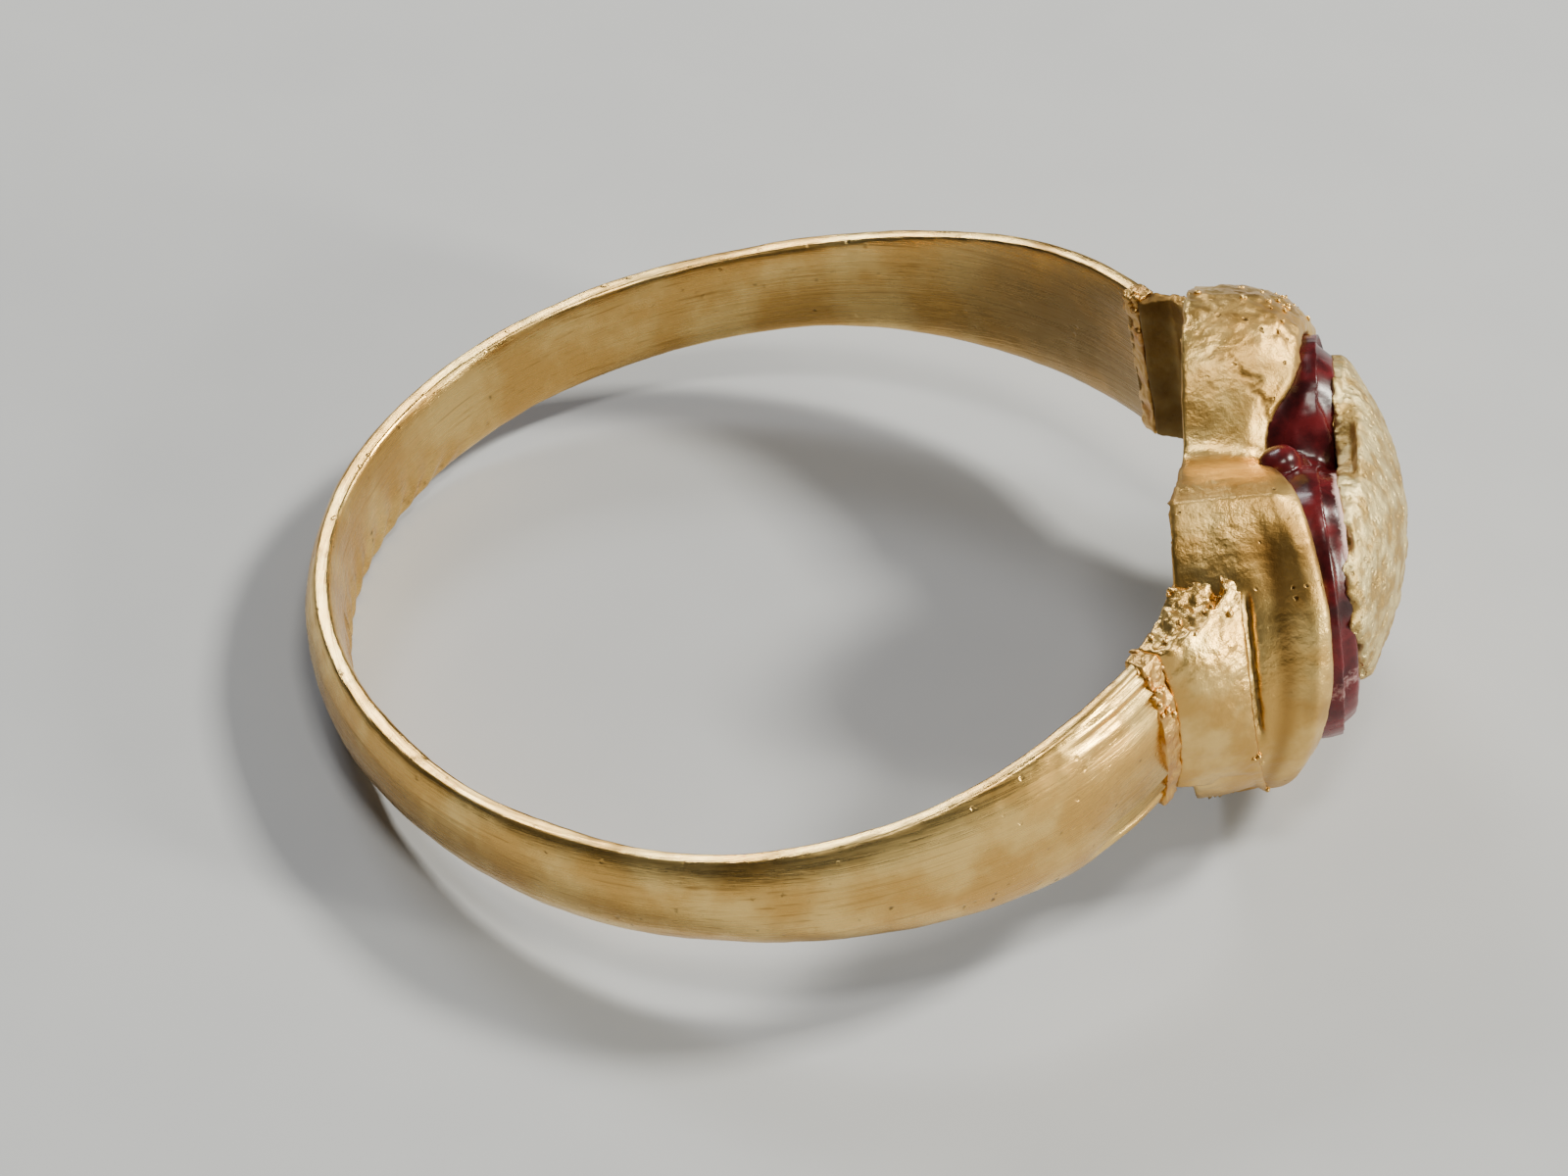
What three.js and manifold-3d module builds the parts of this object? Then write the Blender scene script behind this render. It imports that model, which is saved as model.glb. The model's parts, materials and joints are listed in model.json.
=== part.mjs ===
// Gold ring with a cleft, two-lobed head, lying on its side as it rests on a table.
// Millimetres. In the ring's own frame the finger hole runs along Z, the head faces +X,
// +Y is the far side and -Y the near side. The whole ring is then tilted to its resting pose.
import * as THREE from 'three';
import { mergeVertices } from 'three/addons/utils/BufferGeometryUtils.js';
import Module from 'manifold-3d';

// ---- driving dimensions ----
// band
const boreRadius = 8.6;          // inside radius of the finger hole
const ovalBend = 0.11;           // how far wear has pressed the hole oval
const ovalBendAt = 149;          // degrees from the head to the oval's long axis
const threeLobeBend = 0.16;      // how far the hole has gone three-cornered
const threeLobeBendAt = 43;      // degrees from the head to one corner
const bandWidth = 2.05;          // along the finger, at the back
const bandEdge = 0.42;           // wall at the two side rims
const bandCrown = 0.72;          // wall at the middle of the outside curve
const shoulderWidth = 3.5;       // band width where it meets the shoulders
const taperStart = 98;           // degrees from the head where the band begins to widen
// shoulders and solder
const seamLength = 0.5;          // solder along the band
const seamProud = 0.05;          // solder standing above the band
const shoulderRun = 0.2;         // from the side of the head to the solder
const collarTop = 2.35;          // shoulder at the head, above the middle of the band
const collarBottom = 3.4;        // and below it
const collarEdge = 1.45;         // its wall there at the two side rims
const collarCrown = 2.1;         // its wall there at the middle
const collarInset = 3.22;        // from the head's middle out to where a shoulder stops inside it
const collarSweep = 1.5;         // how late the shoulder flares; 1 is a straight taper
// head, measured from the middle of its face; the radii are an eighth turn apart
const headMiddle = 0.2;          // height of that middle on the finger axis
const headCrown = 3.0;           // up to the line of the lobes, before the cleft is cut
const headLobe = 3.85;           // up and out to a lobe
const headSide = 4.35;           // straight out to the side
const headFlank = 4.7;           // down and out to a lower corner
const headPoint = 3.75;          // down to the lowest point
const cleftDepth = 1.3;          // cleft between the lobes, at the rim
const cleftAt = -11;             // degrees from the top to the cleft's middle, towards the near side
const cleftSpread = 24;          // degrees, half width of the cleft
const backCleft = 0.85;          // share of the cleft that is left at the back
const backFlare = 0.75;          // the wall is this much larger at the back
const backFlareAt = 43;          // degrees from the cleft to the far lobe, where it flares most
const backSet = 0.55;            // the head's flat back, inside the radius of the bore
const backLean = 0.08;           // the back is further out on the far side
const wallThickness = 0.42;
const rimRise = 2;               // highest part of the rim, outside the radius of the bore
const rimBow = 0.06;             // how fast the rim drops towards the point
const rimBowFrom = 1;            // height where it starts to drop
const rimDip = 0.95;             // the rim's dip in the cleft
const rimDipNear = 1.9;          // the dip's width on the near side
const rimDipFar = 0.8;
const rimRound = 0.08;           // rounding of the rim's two edges
// inside the head
const floorShare = 0.3;          // the floor's place between the back and the rim
const floorThickness = 0.25;
const crestCrown = 2.1;          // crest, measured as the head is
const crestLobe = 2.75;
const crestSide = 3.3;
const crestFlank = 3.0;
const crestPoint = 2.7;
const crestCleft = 1.15;
const crestSeat = 2.35;          // underside of the crest, outside the radius of the bore
const crestOverhang = 0.14;      // the crest laps over the enamel
const crestEdge = 0.2;           // thickness of the crest's edge
const crestRise = 0.95;          // its dome above that edge
const crestShell = 0.35;         // wall of the dome
const riserWall = 0.4;
const enamelOverflow = 0.3;      // enamel run over the wall in the cleft
// fits
const film = 0.03;               // solder or enamel film between two touching pieces

// ---- finish ----
const gold = { color: 0xb89a5e, roughness: 0.34, metalness: 1 };
const paleGold = { color: 0xc9ba8e, roughness: 0.5, metalness: 1 };
const solder = { color: 0xd09a6a, roughness: 0.45, metalness: 1 };
const redEnamel = { color: 0x5a0c1a, roughness: 0.22, metalness: 0 };

const degree = Math.PI / 180;
const smooth = (t) => t * t * (3 - 2 * t);
const clamp01 = (t) => Math.min(1, Math.max(0, t));
const wasm = await Module();
wasm.setup();

// ---- solids ----
function merged(geometry) {
  const bare = geometry.clone();
  bare.deleteAttribute('normal');
  bare.deleteAttribute('uv');
  return mergeVertices(bare, 1e-5);
}

function asSolid(geometry) {
  const { index, attributes } = merged(geometry);
  return new wasm.Manifold(new wasm.Mesh({
    numProp: 3,
    vertProperties: new Float32Array(attributes.position.array),
    triVerts: new Uint32Array(index.array),
  }));
}

function asGeometry(solid) {
  const mesh = solid.getMesh();
  const geometry = new THREE.BufferGeometry();
  geometry.setAttribute('position', new THREE.BufferAttribute(new Float32Array(mesh.vertProperties), 3));
  geometry.setIndex([...mesh.triVerts]);
  return geometry;
}

function cut(body, tool) {
  return asGeometry(asSolid(body).subtract(asSolid(tool)));
}

function place(geometry, move) {
  const position = geometry.attributes.position;
  const point = new THREE.Vector3();
  for (let i = 0; i < position.count; i += 1) {
    point.fromBufferAttribute(position, i);
    move(point, i);
    position.setXYZ(i, point.x, point.y, point.z);
  }
  return merged(geometry);
}

// ---- band ----
function bore(angle) {
  const oval = ovalBend * Math.cos(2 * (angle - ovalBendAt * degree));
  const threeLobe = threeLobeBend * Math.cos(3 * (angle - threeLobeBendAt * degree));
  return boreRadius + oval + threeLobe;
}

function widthAt(angle) {
  const fromHead = Math.abs(THREE.MathUtils.euclideanModulo(angle / degree + 180, 360) - 180);
  const widening = clamp01((taperStart - fromHead) / (taperStart - bandEnd));
  return bandWidth + (shoulderWidth - bandWidth) * smooth(widening);
}

// A bar of unit D section, bent round the bore. size(t) gives its width, edge and crown at t.
function bentBar(startDegrees, endDegrees, steps, size) {
  const section = new THREE.Shape();
  section.moveTo(0, -1);
  section.lineTo(1, -1);
  const crownPoints = 8;
  for (let i = 1; i <= crownPoints; i += 1) {
    section.lineTo(1, -1 + (2 * i) / crownPoints);
  }
  section.lineTo(0, 1);
  const bar = new THREE.ExtrudeGeometry(section, { depth: 1, steps, bevelEnabled: false });
  return place(bar, (point) => {
    const angle = (endDegrees + (startDegrees - endDegrees) * point.z) * degree;
    const { width, edge, crown, sink = 0, lift = 0 } = size(point.z, angle);
    const wall = edge + (crown - edge) * (1 - point.y * point.y);
    const radius = bore(angle) + (point.x > 0.5 ? wall : -sink);
    point.set(radius * Math.cos(angle), radius * Math.sin(angle), lift + (point.y * width) / 2);
  });
}

function shank() {
  const shankSteps = 96;
  const size = (t, angle) => ({ width: widthAt(angle), edge: bandEdge, crown: bandCrown });
  return bentBar(bandEnd, 360 - bandEnd, shankSteps, size);
}

const filmAngle = (film / boreRadius) / degree;
const seamAngle = (seamLength / boreRadius) / degree;

function solderSeam(side) {
  const seamSteps = 3;
  const size = (t, angle) => ({
    width: widthAt(angle) + 2 * seamProud,
    edge: bandEdge + seamProud,
    crown: bandCrown + seamProud,
    sink: seamProud / 2,
  });
  const ends = [bandEnd - seamAngle, bandEnd - filmAngle].map((a) => side * a);
  ends.sort((a, b) => a - b);
  return bentBar(ends[0], ends[1], seamSteps, size);
}

const collarReach = Math.asin(collarInset / boreRadius) / degree;

function shoulder(side) {
  const shoulderSteps = 12;
  const size = (t, angle) => {
    const share = (shoulderEnd - Math.abs(angle) / degree) / (shoulderEnd - collarReach);
    const flare = clamp01(share) ** collarSweep;
    const blend = (from, to) => from + (to - from) * flare;
    const top = blend(widthAt(angle) / 2, collarTop);
    const bottom = blend(widthAt(angle) / 2, collarBottom);
    return {
      width: top + bottom,
      lift: (top - bottom) / 2,
      edge: blend(bandEdge, collarEdge),
      crown: blend(bandCrown, collarCrown),
    };
  };
  const ends = [collarReach, shoulderEnd].map((a) => side * a);
  ends.sort((a, b) => a - b);
  return cut(bentBar(ends[0], ends[1], shoulderSteps, size), headBlank());
}

// ---- head ----
const headRadii = [headCrown, headLobe, headSide, headFlank, headPoint];
const crestRadii = [crestCrown, crestLobe, crestSide, crestFlank, crestPoint];
const headLine = (angle) => outlineRadius(headRadii, cleftDepth, angle);
const crestAt = (share) => (angle) => outlineRadius(crestRadii, crestCleft * share, angle);
const crestLine = crestAt(1);

// The head's outside at a height, from 0 at its back to 1 at the rim, where it meets headLine.
function wallLine(height) {
  const cleft = cleftDepth * (backCleft + (1 - backCleft) * height);
  const bulge = backFlare * Math.sqrt(1 - height * height);
  return (angle) => {
    const towardsLobe = Math.cos(angle - backFlareAt * degree) ** 2;
    return outlineRadius(headRadii, cleft, angle) + bulge * towardsLobe;
  };
}

// Smooth outline through radii that are an eighth turn apart, less the cleft at the top.
function outlineRadius(radii, cleft, angle) {
  const last = radii.length - 1;
  let radius = 0;
  for (let k = 0; k <= last; k += 1) {
    const wave = radii.map((value, j) => value * Math.cos((k * j * Math.PI) / last));
    wave[0] /= 2;
    wave[last] /= 2;
    const weight = wave.reduce((sum, value) => sum + value, 0);
    const halved = k === 0 || k === last ? 0.5 : 1;
    radius += (2 / last) * halved * weight * Math.cos(k * angle);
  }
  return radius - cleft * cleftFade(angle);
}

function cleftFade(angle) {
  const turned = angle - cleftAt * degree;
  const fromCleft = Math.atan2(Math.sin(turned), Math.cos(turned)) / degree;
  return Math.exp(-((fromCleft / cleftSpread) ** 2));
}

// The shoulders clear the head's widest side, and the solder and the band's end follow them.
const headHalfWidth = wallLine(0)(90 * degree);
const shoulderEnd = Math.asin((headHalfWidth + shoulderRun) / boreRadius) / degree;
const bandEnd = shoulderEnd + seamAngle + filmAngle;

// Surfaces of the head: how far out each one is, at a place on its face.
const back = (y) => boreRadius - backSet + backLean * y;

function rim(y, z) {
  const bow = rimBow * (z - rimBowFrom) ** 2;
  const width = y > 0 ? rimDipFar : rimDipNear;
  const dip = rimDip * Math.exp(-((y / width) ** 2)) * smooth(clamp01(z / cleftDepth));
  return boreRadius + rimRise - bow - dip;
}

const floor = (y, z) => back(y) + floorShare * (rim(y, z) - back(y));
const crest = () => boreRadius + crestSeat;
const bead = (share) => (y, z) => rim(y, z) + share * (crest() - film - rim(y, z));

// Turns a closed outline round the head. Each row of it is
// [line, inset from that line, surface, height above it, share of the radius].
const headSegments = 96;

function headTurn(outline) {
  const flat = outline.map((row, i) => new THREE.Vector2(row[4] === 0 ? 0 : 1 + i, i));
  if (outline[0][4] !== 0) flat.push(flat[0].clone());
  const turned = new THREE.LatheGeometry(flat, headSegments);
  return place(turned, (point, i) => {
    const row = (i % flat.length) % outline.length;
    const turn = Math.floor(i / flat.length) % headSegments;
    const angle = (-2 * Math.PI * turn) / headSegments;
    const [line, inset, surface, height, share = 1] = outline[row];
    const radius = share * (line(angle) - inset);
    const y = radius * Math.sin(angle);
    const z = headMiddle + radius * Math.cos(angle);
    point.set(surface(y, z) + height, y, z);
  });
}

const wallTop = (y, z) => rim(y, z) - rimRound;
const wallSurface = (height) => (y, z) => back(y) + height * (wallTop(y, z) - back(y));
const wallRows = [0, 0.3, 0.55, 0.75, 0.9, 1].map((h) => [wallLine(h), 0, wallSurface(h), 0]);

// The head at its largest, a film larger, reaching past its back and face.
function headBlank() {
  const reach = 2;
  return headTurn([
    [headLine, 0, back, -reach, 0],
    [wallLine(0), -film, back, -reach],
    [wallLine(0), -film, crest, reach],
    [headLine, 0, crest, reach, 0],
  ]);
}

function bezelWall() {
  return headTurn([
    [headLine, wallThickness, back, 0],
    ...wallRows,
    [headLine, rimRound, rim, 0],
    [headLine, wallThickness - rimRound, rim, 0],
    [headLine, wallThickness, wallTop, 0],
  ]);
}

const channelOuter = wallThickness + film;
const aboveFloor = floorThickness + film;

function bezelFloor() {
  const across = [
    [crestLine, riserWall, 0],
    [crestLine, riserWall, 0.5],
    [crestLine, riserWall, 1],
    [crestLine, 0, 1],
    [headLine, channelOuter, 1],
  ];
  const under = across.map(([line, inset, share]) => [line, inset, floor, 0, share]);
  const over = across.map(([line, inset, share]) => [line, inset, floor, floorThickness, share]);
  return headTurn([...under, ...over.reverse()]);
}

function crestRiser() {
  return headTurn([
    [crestLine, riserWall, floor, aboveFloor],
    [crestLine, 0, floor, aboveFloor],
    [crestLine, 0, crest, -film],
    [crestLine, riserWall, crest, -film],
  ]);
}

// Enamel fills the channel, swells above the rim up to the crest, and runs over in the cleft.
function enamelBorder() {
  const overflow = (angle) => headLine(angle) + enamelOverflow * cleftFade(angle);
  return headTurn([
    [headLine, channelOuter, floor, aboveFloor],
    [headLine, channelOuter, rim, 0],
    [overflow, channelOuter, bead(0.4), 0],
    [overflow, channelOuter + 0.06, bead(0.7), 0],
    [crestLine, -0.32, bead(0.93), 0],
    [crestLine, -film, bead(1), 0],
    [crestLine, -film, floor, aboveFloor],
  ]);
}

function crestDome() {
  const dome = (share) => crestRise * (1 - share * share);
  const inside = [0, 0.3, 0.6, 0.85, 1];
  const outside = [1, 0.95, 0.87, 0.75, 0.6, 0.4, 0.2, 0];
  const hollow = crestEdge - crestShell;
  return headTurn([
    ...inside.map((s) => [crestAt(s), riserWall, crest, Math.max(0, dome(s) + hollow), s]),
    [crestLine, -crestOverhang, crest, 0],
    ...outside.map((s) => [crestAt(s), -crestOverhang, crest, crestEdge + dome(s), s]),
  ]);
}

// ---- assembly ----
const ring = new THREE.Group();

function add(name, geometry, finish) {
  const mesh = new THREE.Mesh(geometry, new THREE.MeshStandardMaterial(finish));
  mesh.name = name;
  ring.add(mesh);
}

add('shank', shank(), gold);
add('near_solder_seam', solderSeam(-1), solder);
add('far_solder_seam', solderSeam(1), solder);
add('near_shoulder', shoulder(-1), gold);
add('far_shoulder', shoulder(1), gold);
add('bezel_wall', bezelWall(), gold);
add('bezel_floor', bezelFloor(), gold);
add('crest_riser', crestRiser(), gold);
add('enamel_border', enamelBorder(), redEnamel);
add('crest_dome', crestDome(), paleGold);

// ---- resting pose ----
// Laid on its side, the ring stands on the back of the band and on the lower corners of the head.
function lowest(tilt, wanted) {
  const best = new THREE.Vector3(0, 0, Infinity);
  const point = new THREE.Vector3();
  ring.children.forEach(({ geometry }) => {
    const position = geometry.attributes.position;
    for (let i = 0; i < position.count; i += 1) {
      point.fromBufferAttribute(position, i);
      const height = point.x * Math.sin(tilt) + point.z * Math.cos(tilt);
      if (wanted(point) && height < best.z) best.set(point.x, point.z, height);
    }
  });
  return best;
}

let tilt = 0;
const settleSteps = 12;
for (let i = 0; i < settleSteps; i += 1) {
  const front = lowest(tilt, (point) => point.x > 0);
  const rear = lowest(tilt, (point) => point.x < 0);
  tilt = Math.atan2(rear.y - front.y, front.x - rear.x);
}
ring.rotation.y = -tilt;

const group = new THREE.Group();
group.add(ring);
group.updateMatrixWorld(true);
const extent = new THREE.Box3().setFromObject(ring, true);
const middle = extent.getCenter(new THREE.Vector3());
ring.position.set(-middle.x, -middle.y, -extent.min.z);

export default group;
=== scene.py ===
import json
import math

import bmesh
import bpy
import numpy as np
from mathutils import Matrix, Vector, noise


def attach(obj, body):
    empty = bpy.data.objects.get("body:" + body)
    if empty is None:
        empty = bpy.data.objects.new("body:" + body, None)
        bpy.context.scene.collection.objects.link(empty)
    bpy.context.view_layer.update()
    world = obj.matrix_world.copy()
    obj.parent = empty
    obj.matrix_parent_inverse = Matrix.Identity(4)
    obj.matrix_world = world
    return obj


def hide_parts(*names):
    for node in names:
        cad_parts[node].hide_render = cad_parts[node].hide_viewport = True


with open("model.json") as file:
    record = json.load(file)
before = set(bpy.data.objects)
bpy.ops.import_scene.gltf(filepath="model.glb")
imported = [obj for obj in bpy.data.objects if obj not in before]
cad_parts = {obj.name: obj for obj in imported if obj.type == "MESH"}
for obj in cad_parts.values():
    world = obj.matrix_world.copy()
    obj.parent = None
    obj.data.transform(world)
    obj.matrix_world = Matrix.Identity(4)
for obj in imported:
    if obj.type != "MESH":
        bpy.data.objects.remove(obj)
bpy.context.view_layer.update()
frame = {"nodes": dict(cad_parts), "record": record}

# Worn gold ring with a red enamelled head, lying on its side.
# Pieces are shaped in the ring's own frame, in millimetres: u runs out through the head,
# v to the far side and w along the finger. settle() then places them, in metres.

bandShape = {
    "boreRadius": 8.6, "ovalBend": 0.11, "ovalBendAt": 149, "threeLobeBend": 0.16, "threeLobeBendAt": 43,
    "width": 2.05, "edge": 0.42, "crown": 0.72, "comfort": 0.05, "squareness": 0.32,
    "shoulderWidth": 3.5, "taperStart": 98, "end": 38.2, "underSolder": 1,
    "stepsRound": 900, "stepsAcross": 60,
}


def boreAt(angle):
    oval = bandShape["ovalBend"] * np.cos(2 * (angle - math.radians(bandShape["ovalBendAt"])))
    lobes = bandShape["threeLobeBend"] * np.cos(3 * (angle - math.radians(bandShape["threeLobeBendAt"])))
    return bandShape["boreRadius"] + oval + lobes


# The frame's only mount lies in the middle of the band's lower side rim, opposite the head.
# It gives the ring's axes and centre.
restMount = frame["record"]["mounts"][0]
ringUp = -Vector(restMount["axis"]).normalized()
ringFar = Vector((0, 1, 0))
ringOut = ringFar.cross(ringUp).normalized()
rimMiddle = float(boreAt(math.pi)) + bandShape["edge"] / 2
ringCentre = Vector(restMount["pos_m"]) + (ringOut * rimMiddle + ringUp * bandShape["width"] / 2) / 1000
ringAxes = np.array([ringOut, ringFar, ringUp])


def toRing(points):
    return (points - np.array(ringCentre)) @ ringAxes.T * 1000


def toWorld(points):
    return points / 1000 @ ringAxes + np.array(ringCentre)


# ---- shaping ----
def smoothStep(low, high, value):
    t = np.clip((value - low) / (high - low), 0, 1)
    return t * t * (3 - 2 * t)


def grain(points, size, octaves=3, seed=0.0):
    shift = np.array([seed * 17.3, seed * 5.1, seed * 9.7])
    return np.array([noise.fractal(Vector(p), 1.0, 2.0, octaves) for p in points / size + shift])


def readVectors(mesh, field):
    values = np.empty(len(mesh.vertices) * 3)
    mesh.vertices.foreach_get(field, values)
    return values.reshape(-1, 3)


def writePoints(mesh, points):
    mesh.vertices.foreach_set("co", np.ascontiguousarray(points).ravel())
    mesh.update()


def linkPiece(name, mesh):
    piece = bpy.data.objects.new(name, mesh)
    bpy.context.scene.collection.objects.link(piece)
    return piece


def applyModifiers(piece):
    depsgraph = bpy.context.evaluated_depsgraph_get()
    finished = bpy.data.meshes.new_from_object(piece.evaluated_get(depsgraph))
    piece.modifiers.clear()
    piece.data = finished


def evenMesh(piece, voxel, rounds):
    # an even fine mesh with every edge worn round
    even = piece.modifiers.new("even", "REMESH")
    even.mode = "VOXEL"
    even.voxel_size = voxel
    soften = piece.modifiers.new("soften", "SMOOTH")
    soften.factor = 0.5
    soften.iterations = rounds
    applyModifiers(piece)


def loft(name, rings):
    # a closed body through rings of points, with flat ends
    rounds, across, _ = rings.shape
    body = bmesh.new()
    points = [[body.verts.new(p) for p in ring] for ring in rings.tolist()]
    for i in range(rounds - 1):
        for j in range(across):
            k = (j + 1) % across
            body.faces.new((points[i][j], points[i][k], points[i + 1][k], points[i + 1][j]))
    body.faces.new(points[0][::-1])
    body.faces.new(points[-1])
    bmesh.ops.recalc_face_normals(body, faces=body.faces)
    mesh = bpy.data.meshes.new(name)
    body.to_mesh(mesh)
    body.free()
    return linkPiece(name, mesh)


def paint(piece, mask, values):
    layer = piece.data.attributes.get(mask) or piece.data.attributes.new(mask, "FLOAT", "POINT")
    layer.data.foreach_set("value", np.ascontiguousarray(values, dtype=np.float32))


def addDrops(mesh, drops):
    # round drops that the even mesh then runs into the piece
    joined = bmesh.new()
    joined.from_mesh(mesh)
    for place, size in drops:
        shape = Matrix.Translation(place) @ Matrix.Diagonal((*size, 1))
        bmesh.ops.create_icosphere(joined, subdivisions=3, radius=1, matrix=shape)
    joined.to_mesh(mesh)
    joined.free()


def softCopy(node, name, voxel, rounds, drops=()):
    joined = bmesh.new()
    joined.from_mesh(frame["nodes"][node].data)
    bmesh.ops.remove_doubles(joined, verts=joined.verts, dist=1e-7)
    mesh = bpy.data.meshes.new(name)
    joined.to_mesh(mesh)
    joined.free()
    writePoints(mesh, toRing(readVectors(mesh, "co")))
    addDrops(mesh, drops)
    piece = linkPiece(name, mesh)
    evenMesh(piece, voxel, rounds)
    return piece


def sculpt(piece, change):
    mesh = piece.data
    writePoints(mesh, change(readVectors(mesh, "co"), readVectors(mesh, "normal")))


def settle(piece):
    writePoints(piece.data, toWorld(readVectors(piece.data, "co")))
    piece.data.polygons.foreach_set("use_smooth", [True] * len(piece.data.polygons))


# ---- shading ----
class Flow:
    def __init__(self, tree, socket=None):
        self.tree = tree
        self.socket = socket

    def node(self, kind, settings=None, sockets=None, out=0):
        made = self.tree.nodes.new(kind)
        for key, value in (settings or {}).items():
            if key == "stops":
                setStops(made.color_ramp, value)
            else:
                setattr(made, key, value)
        for key, value in (sockets or {}).items():
            if isinstance(value, Flow):
                self.tree.links.new(value.socket, made.inputs[key])
            else:
                made.inputs[key].default_value = value
        return Flow(self.tree, made.outputs[out] if made.outputs else None)

    def maths(self, operation, a, b=0.0):
        return self.node("ShaderNodeMath", {"operation": operation}, {0: a, 1: b})

    def __add__(self, other):
        return self.maths("ADD", self, other)

    def __radd__(self, other):
        return self.maths("ADD", other, self)

    def __sub__(self, other):
        return self.maths("SUBTRACT", self, other)

    def __rsub__(self, other):
        return self.maths("SUBTRACT", other, self)

    def __mul__(self, other):
        return self.maths("MULTIPLY", self, other)

    def __rmul__(self, other):
        return self.maths("MULTIPLY", other, self)

    def __truediv__(self, other):
        return self.maths("DIVIDE", self, other)

    def step(self, low, high):
        span = {"Value": self, "From Min": low, "From Max": high}
        return self.node("ShaderNodeMapRange", {"interpolation_type": "SMOOTHSTEP"}, span)

    def below(self, low, high):
        return 1 - self.step(low, high)

    def most(self, other):
        return self.maths("MAXIMUM", self, other)

    def vector(self, x, y, z):
        return self.node("ShaderNodeCombineXYZ", None, {0: x, 1: y, 2: z})

    def mix(self, factor, a, b):
        return self.node("ShaderNodeMix", {"data_type": "RGBA"}, {0: factor, 6: a, 7: b}, 2)


def setStops(ramp, stops):
    while len(ramp.elements) > 1:
        ramp.elements.remove(ramp.elements[-1])
    ramp.elements[0].position, ramp.elements[0].color = stops[0]
    for place, colour in stops[1:]:
        ramp.elements.new(place).color = colour


def colour(red, green, blue):
    # from the 0 to 255 values of a colour picker
    def linear(part):
        part /= 255
        return part / 12.92 if part <= 0.04045 else ((part + 0.055) / 1.055) ** 2.4
    return (linear(red), linear(green), linear(blue), 1)


def startMaterial(name):
    made = bpy.data.materials.new(name)
    made.use_nodes = True
    tree = made.node_tree
    tree.nodes.clear()
    return made, Flow(tree)


def ringPlace(flow):
    # Object coordinates turned and scaled into the ring's own millimetres
    turn = Matrix([ringOut, ringFar, ringUp])
    shift = (turn @ ringCentre) * -1000
    world = flow.node("ShaderNodeTexCoord", None, None, 3)
    return flow.node("ShaderNodeMapping", None, {
        "Vector": world, "Location": shift, "Rotation": turn.to_euler("XYZ"), "Scale": (1000, 1000, 1000)})


def speckle(flow, place, size, detail=3.0, roughness=0.55, distortion=0.0):
    return flow.node("ShaderNodeTexNoise", None, {
        "Vector": place, "Scale": 1 / size, "Detail": detail, "Roughness": roughness,
        "Distortion": distortion})


def pits(flow, place, size, share):
    # ragged dots scattered through the metal, 1 in the middle of each
    ragged = flow.node("ShaderNodeTexNoise", None, {"Vector": place, "Scale": 2.5 / size, "Detail": 2.0}, 1)
    bent = flow.node("ShaderNodeVectorMath", {"operation": "SCALE"}, {0: ragged, "Scale": size * 0.35})
    place = flow.node("ShaderNodeVectorMath", {"operation": "ADD"}, {0: place, 1: bent})
    cells = flow.node("ShaderNodeTexVoronoi", {"feature": "F1"}, {"Vector": place, "Scale": 1 / size})
    return cells.below(share * 0.4, share)


def scratches(flow, u, v, w, long, fine):
    # fine lines that run round the finger
    angle = flow.maths("ARCTAN2", v, u)
    radius = flow.maths("SQRT", u * u + v * v)
    lines = flow.vector(angle * (8.6 / long), w / fine, radius / fine)
    return flow.node("ShaderNodeTexNoise", None, {
        "Vector": lines, "Scale": 1.0, "Detail": 4.0, "Roughness": 0.6, "Distortion": 0.25})


def finishMetal(flow, made, base, roughness, height, depth, metallic=1.0):
    bump = flow.node("ShaderNodeBump", None, {"Strength": 1.0, "Distance": depth / 1000, "Height": height})
    shader = flow.node("ShaderNodeBsdfPrincipled", None, {
        "Base Color": base, "Metallic": metallic, "Roughness": roughness, "Normal": bump})
    flow.node("ShaderNodeOutputMaterial", None, {"Surface": shader})
    return made


goldColours = {
    "bright": colour(234, 198, 122), "body": colour(206, 162, 88), "shade": colour(140, 100, 48),
    # painted shade for the band's inside near the head, then the dark of pits, the crack and painted shade in
    # crevices and recesses
    "tarnish": colour(122, 92, 54), "grime": colour(58, 42, 24),
    "pale": colour(226, 204, 146), "paleShade": colour(178, 146, 84),
    "copper": colour(236, 188, 122), "copperShade": colour(192, 142, 80),
}
enamelColours = {
    # the third colour is painted light: the brighter red where light shines through the enamel
    "deep": colour(42, 8, 10), "body": colour(90, 20, 24), "thin": colour(112, 16, 28),
    # scuffed pale enamel, on the near ridge also a painted highlight
    "rubbed": colour(206, 172, 166),
}


def bandGold():
    made, flow = startMaterial("bandGold")
    place = ringPlace(flow)
    u, v, w = (flow.node("ShaderNodeSeparateXYZ", None, {0: place}, k) for k in range(3))
    clouds = speckle(flow, place, 1.6, 4)
    lines = scratches(flow, u, v, w, 5.0, 0.07)
    hair = scratches(flow, u, v, w, 2.2, 0.025)
    nicks = pits(flow, place, 0.42, 0.16)
    base = flow.mix(clouds.step(0.38, 0.66), goldColours["body"], goldColours["bright"])
    base = flow.mix(lines.step(0.56, 0.72) * 0.55, base, goldColours["shade"])
    base = flow.mix(nicks * speckle(flow, place, 0.9).step(0.5, 0.6) * 0.7, base, goldColours["grime"])
    # painted shade: the band's inside is darkened towards the head
    tarnish = flow.node("ShaderNodeAttribute", {"attribute_name": "tarnish"}, None, 2)
    base = flow.mix(tarnish * clouds.step(0.1, 0.6) * 0.75, base, goldColours["tarnish"])
    roughness = 0.2 + lines.step(0.4, 0.7) * 0.14 + clouds * 0.1
    height = lines * 0.5 + hair * 0.35 - nicks * 0.6 + speckle(flow, place, 0.35, 3) * 0.5
    return finishMetal(flow, made, base, roughness, height, 0.012)


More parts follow.
